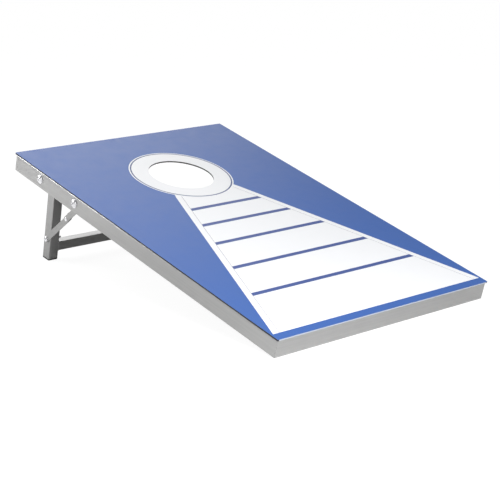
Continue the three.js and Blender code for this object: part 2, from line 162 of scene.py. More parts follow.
# The front edge of the deck face is the film's foremost line.
front_edge = Vector((0, print_low.y, print_high.z - DECK_LENGTH * MM * math.sin(SLOPE)))
BOARD = Matrix.Translation(front_edge) @ Matrix.Rotation(SLOPE, 4, "X")
LEG = (
    BOARD
    @ Matrix.Translation((0, PIVOT_Y * MM, PIVOT_Z * MM))
    @ Matrix.Rotation(-LEG_LEAN, 4, "X")
)
STAY = (
    BOARD
    @ Matrix.Translation((0, STAY_PIVOT_Y * MM, PIVOT_Z * MM))
    @ Matrix.Rotation(STAY_ANGLE, 4, "X")
)
# The feet's lowest corner rests on the ground, which gives the leg's length.
LEG_TILT = SLOPE - LEG_LEAN
leg_pivot = LEG.translation / MM
LEG_REACH = (leg_pivot.z - LEG_SIZE / 2 * math.sin(LEG_TILT)) / math.cos(LEG_TILT)

# ------------------------------------------------------------------ shapes


def arc(cx, cy, radius, start, end, steps):
    """Points along an arc, its end included, with angles in degrees."""
    points = []
    for i in range(steps + 1):
        turn = math.radians(start + (end - start) * i / steps)
        points.append((cx + radius * math.cos(turn), cy + radius * math.sin(turn)))
    return points


def circle(cx, cy, radius, steps):
    return arc(cx, cy, radius, 0, 360, steps)[:-1]


def rounded_rectangle(x0, y0, x1, y1, radius, steps):
    """Counterclockwise outline with round corners."""
    return (
        arc(x1 - radius, y0 + radius, radius, -90, 0, steps)
        + arc(x1 - radius, y1 - radius, radius, 0, 90, steps)
        + arc(x0 + radius, y1 - radius, radius, 90, 180, steps)
        + arc(x0 + radius, y0 + radius, radius, 180, 270, steps)
    )


def soften(points, amount, steps=4, closed=False):
    """A polyline whose corners are rounded, reaching up to amount along each side."""
    most = 0.45
    count = len(points)
    smooth = []
    for i, point in enumerate(points):
        if not closed and i in (0, count - 1):
            smooth.append(tuple(point))
            continue
        corner = Vector(point)
        before = Vector(points[i - 1]) - corner
        after = Vector(points[(i + 1) % count]) - corner
        reach = min(amount, before.length * most, after.length * most)
        start = corner + before.normalized() * reach
        end = corner + after.normalized() * reach
        for k in range(steps + 1):
            t = k / steps
            bend = start * (1 - t) ** 2 + corner * 2 * t * (1 - t) + end * t**2
            smooth.append(tuple(bend))
    return smooth


def loft(rings, closed=False):
    """A skin over rings of equal point count: capped at both ends, or closed on itself."""
    count = len(rings[0])
    points = [point for ring in rings for point in ring]
    faces = []
    for k in range(len(rings) if closed else len(rings) - 1):
        here = k * count
        there = (k + 1) % len(rings) * count
        for i in range(count):
            j = (i + 1) % count
            faces.append((here + i, here + j, there + j, there + i))
    if not closed:
        faces.append(tuple(reversed(range(count))))
        faces.append(tuple(range(len(points) - count, len(points))))
    return points, faces


def spin(profile, side, steps=64):
    """A turned shape on the x axis from [radius, distance from the middle] points."""
    rings = []
    for radius, out in profile:
        rings.append([(side * out, y, z) for y, z in circle(0, 0, radius, steps)])
    return loft(rings, closed=True)


def inside(x, y, loop):
    """Whether a point is inside a closed outline."""
    hit = False
    for i, (x1, y1) in enumerate(loop):
        x0, y0 = loop[i - 1]
        if (y0 > y) != (y1 > y) and x < x0 + (x1 - x0) * (y - y0) / (y1 - y0):
            hit = not hit
    return hit


def triangulate(loops, lines=()):
    """Points and triangles that fill the first loop outside the other loops, with an edge
    along every line."""
    tolerance = 1e-5
    points = []
    edges = []
    for loop in loops:
        first = len(points)
        points += [Vector(point) for point in loop]
        edges += [(first + i, first + (i + 1) % len(loop)) for i in range(len(loop))]
    for line in lines:
        first = len(points)
        points += [Vector(point) for point in line]
        edges += [(first + i, first + i + 1) for i in range(len(line) - 1)]
    out, _, faces, _, _, _ = delaunay_2d_cdt(points, edges, [], 0, tolerance)
    kept = []
    for face in faces:
        x = sum(out[i].x for i in face) / 3
        y = sum(out[i].y for i in face) / 3
        if inside(x, y, loops[0]) and not any(inside(x, y, hole) for hole in loops[1:]):
            kept.append(tuple(face))
    return out, kept


def slab(loops, low, high, edge, lines=()):
    """A flat plate that fills the loops, its rim swelling outwards by edge to a round edge."""
    flat, triangles = triangulate(loops, lines)
    used = {}
    for triangle in triangles:
        for i in range(3):
            used[(triangle[i], triangle[(i + 1) % 3])] = True
    rim = [pair for pair in used if (pair[1], pair[0]) not in used]
    out = {}
    for a, b in rim:
        along = flat[b] - flat[a]
        normal = Vector((along.y, -along.x)).normalized()
        out.setdefault(a, []).append(normal)
        out.setdefault(b, []).append(normal)
    sharpest = 0.4
    for point, normals in out.items():
        middle = (normals[0] + normals[-1]).normalized()
        out[point] = middle / max(sharpest, middle.dot(normals[0]))
    levels = []
    for degrees in (0, 30, 60, 90):
        turn = math.radians(degrees)
        levels.append((math.sin(turn), high - edge * (1 - math.cos(turn))))
    levels += [(swell, low + high - z) for swell, z in reversed(levels)]
    points = [(p.x, p.y, high) for p in flat] + [(p.x, p.y, low) for p in flat]
    faces = list(triangles)
    faces += [tuple(i + len(flat) for i in reversed(triangle)) for triangle in triangles]
    rows = [{point: point for point in out}]
    for swell, z in levels[1:-1]:
        row = {}
        for point, normal in out.items():
            place = flat[point] + normal * edge * swell
            row[point] = len(points)
            points.append((place.x, place.y, z))
        rows.append(row)
    rows.append({point: point + len(flat) for point in out})
    for upper, lower in zip(rows, rows[1:]):
        for a, b in rim:
            faces.append((upper[b], upper[a], lower[a], lower[b]))
    return points, faces


def upright(shape, side, near, far):
    """A plate drawn flat, with z from 0 to 1, stood up between two distances from the middle."""
    points, faces = shape
    return [(side * (near + z * (far - near)), x, y) for x, y, z in points], faces


# ------------------------------------------------------------------ pieces


def make_object(name, shape, matrix):
    """A mesh without doubled points or stray edges, its faces all turned outwards."""
    same_place = 2e-6
    points, faces = shape
    mesh = bpy.data.meshes.new(name)
    mesh.from_pydata([[c * MM for c in point] for point in points], [], faces)
    work = bmesh.new()
    work.from_mesh(mesh)
    bmesh.ops.remove_doubles(work, verts=work.verts, dist=same_place)
    stray = [edge for edge in work.edges if not edge.link_faces]
    bmesh.ops.delete(work, geom=stray, context="EDGES")
    bmesh.ops.recalc_face_normals(work, faces=work.faces)
    work.to_mesh(mesh)
    work.free()
    item = bpy.data.objects.new(name, mesh)
    bpy.context.scene.collection.objects.link(item)
    item.matrix_world = matrix
    return item


def bake(item):
    """Turns a piece's modifiers into its mesh."""
    graph = bpy.context.evaluated_depsgraph_get()
    mesh = bpy.data.meshes.new_from_object(item.evaluated_get(graph))
    item.modifiers.clear()
    item.data = mesh


def drill(item, holes):
    """Cuts holes along x, each given as [y, z, radius, from, to], through a piece."""
    steps = 40
    bpy.context.view_layer.update()
    for y, z, radius, start, end in holes:
        rings = []
        for x in (start, end):
            rings.append([(x, y + b, z + c) for b, c in circle(0, 0, radius, steps)])
        cutter = make_object("cutter", loft(rings), item.matrix_world)
        cut = item.modifiers.new("hole", "BOOLEAN")
        cut.operation = "DIFFERENCE"
        cut.solver = "EXACT"
        cut.object = cutter
        bake(item)
        bpy.data.objects.remove(cutter)


def shade(item):
    """Smooth shading in which the wide faces keep their own direction."""
    item.data.shade_smooth()
    item.data.set_sharp_from_angle(angle=SHARP_ANGLE)
    weighted = item.modifiers.new("weighted", "WEIGHTED_NORMAL")
    weighted.keep_sharp = True
    bake(item)


def piece(name, shape, matrix, material, body, slot, *nodes, holes=()):
    """One visible piece: its mesh, its finish, the body it moves with, and the frame's parts that it
    hides in its place. Slot, what it stands for, is not used.
    """
    item = make_object(name, shape, matrix)
    drill(item, holes)
    shade(item)
    item.data.materials.append(material)
    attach(item, body)
    if nodes:
        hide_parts(*nodes)
    return item


# ------------------------------------------------------------------ materials


class Finish:
    """A material's node tree around one Principled shader."""

    def __init__(self, name, **values):
        """Values are the shader's inputs, with _ for each space in their names."""
        self.material = bpy.data.materials.new(name)
        self.material.use_nodes = True
        self.tree = self.material.node_tree
        self.shader = self.tree.nodes["Principled BSDF"]
        for socket, value in values.items():
            self.shader.inputs[socket.replace("_", " ")].default_value = value
        self.place = self.add("ShaderNodeTexCoord").outputs["Object"]

    def add(self, kind, **settings):
        node = self.tree.nodes.new(kind)
        for key, value in settings.items():
            setattr(node, key, value)
        return node

    def link(self, source, target):
        self.tree.links.new(source, target)

    def feed(self, node, socket, value):
        if isinstance(value, bpy.types.NodeSocket):
            self.link(value, node.inputs[socket])
        else:
            node.inputs[socket].default_value = value

    def stretched(self, scale):
        """The piece's own coordinates, scaled along each axis if a scale is given."""
        if not scale:
            return self.place
        node = self.add("ShaderNodeMapping")
        self.link(self.place, node.inputs["Vector"])
        node.inputs["Scale"].default_value = scale
        return node.outputs["Vector"]

    def noise(self, scale, detail=3, roughness=0.55, stretch=None):
        node = self.add("ShaderNodeTexNoise")
        self.link(self.stretched(stretch), node.inputs["Vector"])
        node.inputs["Scale"].default_value = scale
        node.inputs["Detail"].default_value = detail
        node.inputs["Roughness"].default_value = roughness
        return node.outputs["Fac"]

    def cells(self, scale, stretch=None):
        node = self.add("ShaderNodeTexVoronoi")
        self.link(self.stretched(stretch), node.inputs["Vector"])
        node.inputs["Scale"].default_value = scale
        return node.outputs["Distance"]

    def maths(self, operation, a, b=0.0):
        node = self.add("ShaderNodeMath", operation=operation)
        self.feed(node, 0, a)
        self.feed(node, 1, b)
        return node.outputs["Value"]

    def weighted(self, a, share, b):
        """A share of one value and the rest of another."""
        rest = self.maths("MULTIPLY", b, 1 - share)
        return self.maths("ADD", self.maths("MULTIPLY", a, share), rest)

    def spread(self, value, low, high, to_low, to_high):
        """A range of values carried over to another range, and held at its ends."""
        node = self.add("ShaderNodeMapRange")
        self.feed(node, "Value", value)
        node.inputs["From Min"].default_value = low
        node.inputs["From Max"].default_value = high
        node.inputs["To Min"].default_value = to_low
        node.inputs["To Max"].default_value = to_high
        return node.outputs["Result"]

    def mix(self, share, a, b):
        node = self.add("ShaderNodeMix", data_type="RGBA")
        self.feed(node, 0, share)
        self.feed(node, MIX_A, a)
        self.feed(node, MIX_B, b)
        return node.outputs[MIX_RESULT]

    def axis(self, index):
        node = self.add("ShaderNodeSeparateXYZ")
        self.link(self.place, node.inputs["Vector"])
        return node.outputs[index]

    def colour(self, value):
        self.link(value, self.shader.inputs["Base Color"])

    def rough(self, value):
        self.link(value, self.shader.inputs["Roughness"])

    def bump(self, height, strength, distance):
        node = self.add("ShaderNodeBump")
        self.link(height, node.inputs["Height"])
        node.inputs["Strength"].default_value = strength
        node.inputs["Distance"].default_value = distance
        self.link(node.outputs["Normal"], self.shader.inputs["Normal"])


def grey(level, tint=0.0):
    """A grey whose blue is raised by tint."""
    return (level, level, level * (1 + tint), 1)


def aluminium(name, along, level, rough):
    """Satin tube with drawn lines that run along one axis, and faint cloudy handling marks."""
    finish = Finish(name, Metallic=1.0)
    stretch = 0.012
    lengthwise = [1.0, 1.0, 1.0]
    lengthwise[along] = stretch
    fine = finish.noise(1400, 2, 0.6, lengthwise)
    broad = finish.noise(260, 3, 0.5, lengthwise)
    clouds = finish.noise(14, 4, 0.6)
    lines = finish.weighted(fine, 0.45, broad)
    tone = finish.weighted(lines, 0.75, clouds)
    share = finish.spread(tone, 0.36, 0.64, 0, 1)
    finish.colour(finish.mix(share, grey(level * 0.95), grey(level * 1.05, -0.012)))
    finish.rough(finish.spread(tone, 0.35, 0.65, rough + 0.04, rough - 0.04))
    finish.bump(lines, 0.14, 0.00005)
    return finish.material


def zinc():
    """Bright plated steel with a faintly cloudy surface and fine tooling marks."""
    finish = Finish("zinc_plate", Metallic=1.0)
    level = 0.92
    clouds = finish.noise(420, 3)
    grain = finish.noise(2600, 2)
    finish.colour(finish.mix(clouds, grey(level * 0.94, 0.03), grey(level * 1.05, 0.02)))
    finish.rough(finish.spread(grain, 0.3, 0.7, 0.17, 0.3))
    finish.bump(grain, 0.1, 0.00004)
    return finish.material


def weld_metal():
    """Ripple-cooled filler: bright in places and dull with soot in others."""
    finish = Finish("weld_metal", Metallic=1.0)
    soot = finish.noise(300, 4, 0.7)
    share = finish.spread(soot, 0.4, 0.62, 0, 1)
    finish.colour(finish.mix(share, grey(0.36), grey(0.56)))
    finish.rough(finish.spread(soot, 0.35, 0.65, 0.5, 0.3))
    finish.bump(finish.noise(1900, 3), 0.3, 0.00005)
    return finish.material


def black_plastic():
    """Moulded plastic with a fine spark texture, scuffed lighter in small patches."""
    finish = Finish("black_plastic", Specular_IOR_Level=0.25)
    grain = finish.noise(2400, 3, 0.6)
    scuffs = finish.noise(90, 5, 0.75)
    share = finish.spread(scuffs, 0.58, 0.74, 0, 1)
    finish.colour(finish.mix(share, grey(0.011, 0.06), grey(0.035, 0.02)))
    finish.rough(finish.spread(grain, 0.3, 0.7, 0.5, 0.66))
    finish.bump(grain, 0.35, 0.00008)
    return finish.material


def natural_nylon():
    """Milky nylon with soft colour clouds and turning marks."""
    finish = Finish("natural_nylon")
    clouds = finish.noise(160, 3)
    finish.colour(finish.mix(clouds, (0.74, 0.72, 0.66, 1), (0.83, 0.82, 0.77, 1)))
    finish.rough(finish.spread(clouds, 0.3, 0.7, 0.38, 0.5))
    finish.bump(finish.noise(1500, 2), 0.12, 0.00005)
    return finish.material


def foam():
    """Closed-cell foam tape."""
    finish = Finish("foam_tape")
    cells = finish.cells(1700)
    finish.colour(finish.mix(cells, grey(0.014), grey(0.035)))
    finish.rough(finish.spread(cells, 0, 0.7, 0.95, 0.8))
    finish.bump(cells, 0.5, 0.0002)
    return finish.material


def fibreboard():
    """Dark sealed board: pressed fibres on the faces, and a painted highlight along the front
    edge: a light band that stands for the light this edge catches, stopping short of both corners."""
    finish = Finish("sealed_board")
    fibres = finish.noise(700, 4, 0.65, (1, 0.35, 1))
    specks = finish.cells(900, stretch=(1, 0.3, 1))
    dark = finish.mix(fibres, (0.018, 0.017, 0.017, 1), (0.048, 0.044, 0.042, 1))
    dark = finish.mix(finish.spread(specks, 0.0, 0.16, 0.5, 0), dark, (0.06, 0.052, 0.045, 1))
    # The painted highlight fades out over these distances, in metres, from the front edge and the
    # middle.
    highlight_depth = (0.0005, 0.0011)
    highlight_end = (0.3010, 0.3022)
    ahead = finish.spread(finish.axis(1), *highlight_depth, 1, 0)
    from_middle = finish.maths("ABSOLUTE", finish.axis(0))
    inset = finish.spread(from_middle, *highlight_end, 1, 0)
    strip = finish.maths("MULTIPLY", ahead, inset)
    # Painted highlight: the front edge is coloured light grey-blue to stand for the light it catches,
    # not for a strip on the board.
    painted_edge_highlight = finish.mix(fibres, (0.40, 0.43, 0.50, 1), (0.52, 0.55, 0.62, 1))
    finish.colour(finish.mix(strip, dark, painted_edge_highlight))
    finish.rough(finish.spread(fibres, 0.3, 0.7, 0.5, 0.68))
    finish.bump(fibres, 0.25, 0.00012)
    return finish.material


def printed(name, colour, depth=0.04):
    """Satin printed film: ink mottle that varies the colour by depth, very fine orange peel,
    and rare hair scratches along and across the deck."""
    finish = Finish(name)
    mottle = finish.noise(30, 4, 0.6)
    peel = finish.noise(900, 2, 0.5)
    along = finish.noise(240, 2, 0.5, (1, 0.02, 1))
    across = finish.noise(210, 2, 0.5, (0.03, 1, 1))
    hairs = finish.maths("MAXIMUM", *[finish.spread(hair, 0.7, 0.76, 0, 1) for hair in (along, across)])
    low = [c * (1 - depth) for c in colour] + [1]
    high = [min(1, c * (1 + depth)) for c in colour] + [1]
    finish.colour(finish.mix(mottle, low, high))
    gloss = finish.spread(mottle, 0.3, 0.7, 0.3, 0.37)
    finish.rough(finish.maths("ADD", gloss, finish.maths("MULTIPLY", hairs, 0.08)))
    finish.bump(peel, 0.06, 0.00005)
    return finish.material


RAIL_METAL = [aluminium("rail_metal_" + axis, i, 0.45, 0.33) for i, axis in enumerate("xyz")]
LEG_METAL = [aluminium("leg_metal_" + axis, i, 0.42, 0.38) for i, axis in enumerate("xyz")]
ZINC = zinc()
WELD = weld_metal()
BLACK = black_plastic()
NYLON = natural_nylon()
FOAM = foam()
BOARD_CORE = fibreboard()
PRINT_BLUE = printed("print_blue", (0.029, 0.109, 0.388))
PRINT_BAR = printed("print_bar", (0.035, 0.077, 0.28))
PRINT_WHITE = printed("print_white", (0.86, 0.87, 0.89), 0.012)
PRINT_RULE = printed("print_rule", (0.30, 0.28, 0.36), 0.02)
PRINT_RING_LINE = printed("print_ring_line", (0.03, 0.06, 0.2), 0.03)
INKS = (PRINT_BLUE, PRINT_BAR, PRINT_WHITE, PRINT_RULE, PRINT_RING_LINE)

# ------------------------------------------------------------------ deck


def lane_half_width(y):
    """Half the width of the printed lane at a distance from the deck's front edge."""
    return LANE_AT_STRIP - LANE_TAPER * (y - STRIP_Y)


def ink_at(x, y):
    """The ink that covers a point of the deck."""
    from_hole = math.hypot(x, y - HOLE_Y)
    if from_hole < RING_RADIUS:
        return PRINT_RING_LINE if RING_LINE[0] < from_hole < RING_LINE[1] else PRINT_WHITE
    into_lane = lane_half_width(y) - abs(x)
    if y < STRIP_Y or y > HOLE_Y or into_lane < 0:
        return PRINT_BLUE
    if abs(into_lane - RULE_INSET) < RULE_WIDTH / 2:
        return PRINT_RULE
    on_bar = any(abs(y - centre) < BAR_WIDTH / 2 for centre in BAR_CENTRES)
    return PRINT_BAR if on_bar and into_lane > RULE_INSET else PRINT_WHITE


def lane_line(inset, side):
    """A line parallel to the lane's edge, from the front strip into the ring."""
    overlap = 20
    top = HOLE_Y - RING_LINE[1] + overlap
    return [(side * (lane_half_width(y) - inset), y) for y in (STRIP_Y, top)]


def deck_loops(edge):
    """The deck's outline and its bag hole, both cut back by the edge that slab swells out."""
    half = DECK_WIDTH / 2 - edge
    outline = rounded_rectangle(-half, edge, half, DECK_LENGTH - edge, DECK_CORNER, 8)
    return [outline, list(reversed(circle(0, HOLE_Y, HOLE_RADIUS + edge, 160)))]


def make_film():
    """The printed film, cut along the pattern's lines so that each face takes one ink."""
    lines = []
    for radius in (*RING_LINE, RING_RADIUS):
        ring = circle(0, HOLE_Y, radius, 192)
        lines.append(ring + ring[:1])
    lines.append([(-LANE_AT_STRIP, STRIP_Y), (LANE_AT_STRIP, STRIP_Y)])
    for _, side in SIDES:
        for inset in (0, RULE_INSET - RULE_WIDTH / 2, RULE_INSET + RULE_WIDTH / 2):
            lines.append(lane_line(inset, side))
    for centre in BAR_CENTRES:
        for y in (centre - BAR_WIDTH / 2, centre + BAR_WIDTH / 2):
            reach = lane_half_width(y) - RULE_INSET - RULE_WIDTH / 2
            lines.append([(-reach, y), (reach, y)])
    shape = slab(deck_loops(PRINT_EDGE), -PRINT_THICKNESS, 0, PRINT_EDGE, lines)
    film = piece("deck_film", shape, BOARD, INKS[0], "board", "deck_print", "deck_print")
    for ink in INKS[1:]:
        film.data.materials.append(ink)
    for face in film.data.polygons:
        x, y, _ = face.center / MM
        face.material_index = INKS.index(ink_at(x, y))


def make_panel():
    """The board under the film."""
    shape = slab(deck_loops(PANEL_EDGE), PANEL_BOTTOM, -PRINT_THICKNESS, PANEL_EDGE)
    piece("deck_core", shape, BOARD, BOARD_CORE, "board", "deck_board", "deck_panel")


# ------------------------------------------------------------------ perimeter frame


def tube_rings(width, height, inset=0.0):
    """Outer and inner outlines of a box tube, from its low corner, with inset off each side of
    the wall."""
    steps = 7
    outer = rounded_rectangle(inset, inset, width - inset, height - inset, TUBE_CORNER - inset, steps)
    bore = TUBE_WALL - inset
    inner = rounded_rectangle(bore, bore, width - bore, height - bore, TUBE_INNER_CORNER, steps)
    return outer, inner


def mitred(u, v, turn, length, end):
    """A point of a rail's outline carried round its rounded outer corner to the mitre."""
    share = turn / MITRE_ANGLE
    if u < FRAME_CORNER:
        radius = FRAME_CORNER - u
        along = FRAME_CORNER - radius * math.sin(math.radians(turn))
        depth = FRAME_CORNER - radius * math.cos(math.radians(turn))
    else:
        along = FRAME_CORNER + (u - FRAME_CORNER) * share
        depth = u
    along += MITRE_GAP * share
    return (end * (length / 2 - along), depth, v)


def rail_shape(length):
    """A rail along x with its outer face on y = 0 and both ends mitred."""
    outer, inner = tube_rings(RAIL_WIDTH, RAIL_HEIGHT)
    turns = range(0, MITRE_ANGLE + 1, 9)
    stations = [(-1, turn) for turn in reversed(turns)] + [(1, turn) for turn in turns]
    rings = [[mitred(u, v, turn, length, end) for u, v in outer] for end, turn in stations]
    back = [(1, turn) for turn in (MITRE_ANGLE, 0)] + [(-1, turn) for turn in (0, MITRE_ANGLE)]
    rings += [[mitred(u, v, turn, length, end) for u, v in inner] for end, turn in back]
    return loft(rings, closed=True)


def make_rails():
    """The four rails, each a quarter turn on from the last, with pivot bores in the side ones."""
    lengths = (2 * RAIL_OUTER, RAIL_RUN, 2 * RAIL_OUTER, RAIL_RUN)
    distances = (RAIL_RUN / 2, RAIL_OUTER, RAIL_RUN / 2, RAIL_OUTER)
    for turns, name in enumerate(("front", "right", "back", "left")):
        points, faces = rail_shape(lengths[turns])
        quarter = Matrix.Rotation(turns * math.pi / 2, 3, "Z")
        middle = Vector((0, DECK_LENGTH / 2, RAIL_TOP - RAIL_HEIGHT))
        drop = Vector((0, -distances[turns], 0))
        points = [quarter @ (Vector(point) + drop) + middle for point in points]
        holes = []
        if name in ("left", "right"):
            start = (RAIL_INNER if name == "right" else -RAIL_OUTER) - DRILL_MARGIN
            end = start + RAIL_WIDTH + 2 * DRILL_MARGIN
            holes = [(y, PIVOT_Z, PIVOT_BORE, start, end) for y in (PIVOT_Y, STAY_PIVOT_Y)]
        shape = (points, faces)
        metal = RAIL_METAL[turns % 2]
        node = name + "_rail"
        piece("frame_rail_" + name, shape, BOARD, metal, "board", "aluminium_tube", node, holes=holes)


def make_tapes():
    """Foam strips that bond the deck to the rails."""
    half = TAPE_WIDTH / 2
    inset = RAIL_WIDTH / 2
    side = RAIL_OUTER - inset
    front = (DECK_LENGTH - RAIL_RUN) / 2 + inset
    back = DECK_LENGTH - front
    strips = {
        "front": (-side - half, front - half, side + half, front + half),
        "back": (-side - half, back - half, side + half, back + half),
        "left": (-side - half, front + half + GAP, -side + half, back - half - GAP),
        "right": (side - half, front + half + GAP, side + half, back - half - GAP),
        "middle": (-RAIL_INNER + GAP, CROSS_RAIL_Y - half, RAIL_INNER - GAP, CROSS_RAIL_Y + half),
    }
    corner = 0.4
    for name, (x0, y0, x1, y1) in strips.items():
        sides = (x0 + TAPE_EDGE, y0 + TAPE_EDGE, x1 - TAPE_EDGE, y1 - TAPE_EDGE)
        shape = slab([rounded_rectangle(*sides, corner, 4)], RAIL_TOP, PANEL_BOTTOM, TAPE_EDGE)
        piece("bond_tape_" + name, shape, BOARD, FOAM, "board", "foam_tape", "deck_tape_" + name)


def tube_shape(width, height, length):
    """A box tube along +z from its low corner, with lightly broken ends."""
    edge = TUBE_END_EDGE
    outer, inner = tube_rings(width, height)
    outer_end, inner_end = tube_rings(width, height, edge)
    walk = [(outer_end, 0), (outer, edge), (outer, length - edge), (outer_end, length)]
    walk += [(inner_end, length), (inner, length - edge), (inner, edge), (inner_end, 0)]
    return loft([[(u, v, z) for u, v in ring] for ring, z in walk], closed=True)


def rivet_profile():
    """A blind rivet: the broken stem in its domed head, the shank, and the set end behind."""
    head = soften([(0, 5.4), (1.5, 5.4), (3.2, 4.4), (3.3, 3.6), (3.3, 2.02), (1.5, 2.02)], 0.5)
    # The sunk stem takes the place of the first points, the head's flat crown.
    crown = 5
    stem = [(0, 4.2), (0.8, 4.2), (0.9, 5.3)]
    tail = soften([(1.5, -1.6), (2.4, -1.8), (2.4, -3.6), (0, -3.8)], 0.4)
    return stem + head[crown:] + tail


def bracket_shape():
    """An angle bracket standing on z = 0, its arms along x and y."""
    edge = 0.3
    bend = 1.2
    arm = BRACKET_ARM
    thick = BRACKET_THICKNESS
    outline = [(0, 0), (arm, 0), (arm, thick), (thick, thick), (thick, arm), (0, arm)]
    outline = [(edge if x == 0 else x - edge, edge if y == 0 else y - edge) for x, y in outline]
    return slab([soften(outline, bend, 5, closed=True)], 0, BRACKET_HEIGHT, edge)


def make_cross_rail():
    """The tube under the middle of the deck, with a riveted bracket at each end."""
    length = 2 * (RAIL_INNER - GAP)
    low = RAIL_TOP - CROSS_RAIL_HEIGHT
    front = CROSS_RAIL_Y - RAIL_WIDTH / 2
    points, faces = tube_shape(RAIL_WIDTH, CROSS_RAIL_HEIGHT, length)
    points = [(z - length / 2, front + u, low + v) for u, v, z in points]
    piece("cross_tube", (points, faces), BOARD, RAIL_METAL[0], "board", "aluminium_tube", "cross_rail")

    bracket_gap = 0.05
    rivet_z = low + CROSS_RAIL_HEIGHT / 2
    for name, side in SIDES:
        outer = side * (RAIL_INNER - bracket_gap)
        points, faces = bracket_shape()
        bottom = rivet_z - BRACKET_HEIGHT / 2
        points = [(outer - side * x, front - y, bottom + z) for x, y, z in points]
        node = "cross_rail_bracket_" + name
        shape = (points, faces)
        piece("cross_bracket_" + name, shape, BOARD, RAIL_METAL[2], "board", "aluminium_tube", node)

        pin_x = outer - side * (BRACKET_THICKNESS + GAP + BRACKET_ARM / 2)
        points, faces = spin(rivet_profile(), 1, 32)
        points = [(pin_x + y, front - x, rivet_z + z) for x, y, z in points]
        node = "cross_rail_rivet_" + name
        piece("cross_pin_" + name, (points, faces), BOARD, ZINC, "board", "zinc_steel", node)


# ------------------------------------------------------------------ turned fasteners


def head_profile(base, radius, height, recess):
    """A domed head from its rim in to the recess in its crown, as profile points."""
    edge = 0.25
    shoulder = 0.22
    land = 0.4
    rim = [(radius - edge, base), (radius, base + edge), (radius, base + height * shoulder)]
    crown = []
    for degrees in range(10, 86, 8):
        turn = math.radians(degrees)
        reach = radius * math.cos(turn)
        if reach > recess + land:
            crown.append((reach, base + height * (shoulder + (1 - shoulder) * math.sin(turn))))
    top = base + height
    well = [(recess + 0.3, top - 0.02), (recess, top - 0.3), (recess * 0.86, top - height * 0.62)]
    well += [(recess * 0.5, top - height * 0.7), (0, top - height * 0.72)]
    return rim + crown + well


def washer_profile(inner, outer, near, far):
    """A washer or spacer with rounded edges, between two distances from the middle."""
    edge = 0.3
    corners = [(inner, near), (outer, near), (outer, far), (inner, far)]
    return soften(corners, edge, closed=True)


def nut_shape(side, face, height, flats, bore):
    """A lock nut on the x axis: a hexagon with its corners chamfered at both ends, and a round
    collar. Flats is the size across them, and bore is a radius."""
    steps = 72
    corner = flats / math.sqrt(3)

    def ring(limit, out):
        points = []
        for i in range(steps):
            turn = 2 * math.pi * i / steps
            across = flats / 2 / math.cos((turn % (math.pi / 3)) - math.pi / 6)
            radius = min(across, limit)
            points.append((side * out, radius * math.cos(turn), radius * math.sin(turn)))
        return points

    # Each level is how far the ring reaches and how far from the middle it lies.
    hexagon = height * 0.68
    levels = [
        (bore, face),
        (flats / 2 - 0.1, face),
        (corner - 0.35, face - 0.28),
        (corner, face - 0.6),
        (corner, face - hexagon + 0.7),
        (corner - 0.35, face - hexagon + 0.3),
        (flats / 2 - 0.25, face - hexagon),
        (flats / 2 - 0.55, face - hexagon - 0.1),
        (flats / 2 - 0.6, face - height + 0.9),
        (flats / 2 - 0.85, face - height + 0.35),
        (flats / 2 - 1.3, face - height),
        (bore + 0.35, face - height + 0.05),
        (bore, face - height + 0.4),
    ]
    return loft([ring(limit, out) for limit, out in levels], closed=True)


def shank_profile(radius, tip, head):
    """A shank from its chamfered tip to the head, with a few rolled threads at the tip."""
    pitch = 0.8
    threaded = 7.5
    crest = radius - 0.02
    root = radius - 0.38
    profile = [(0, tip), (radius - 0.9, tip), (radius - 0.25, tip + 0.6)]
    at = tip + 0.9
    while at < tip + threaded:
        profile += [(crest, at), (crest, at + 0.12), (root, at + 0.45)]
        at += pitch
    return profile + [(radius, at), (radius, head)]


def moved(shape, y, z):
    """A shape carried off the x axis."""
    points, faces = shape
    return [(a, b + y, c + z) for a, b, c in points], faces


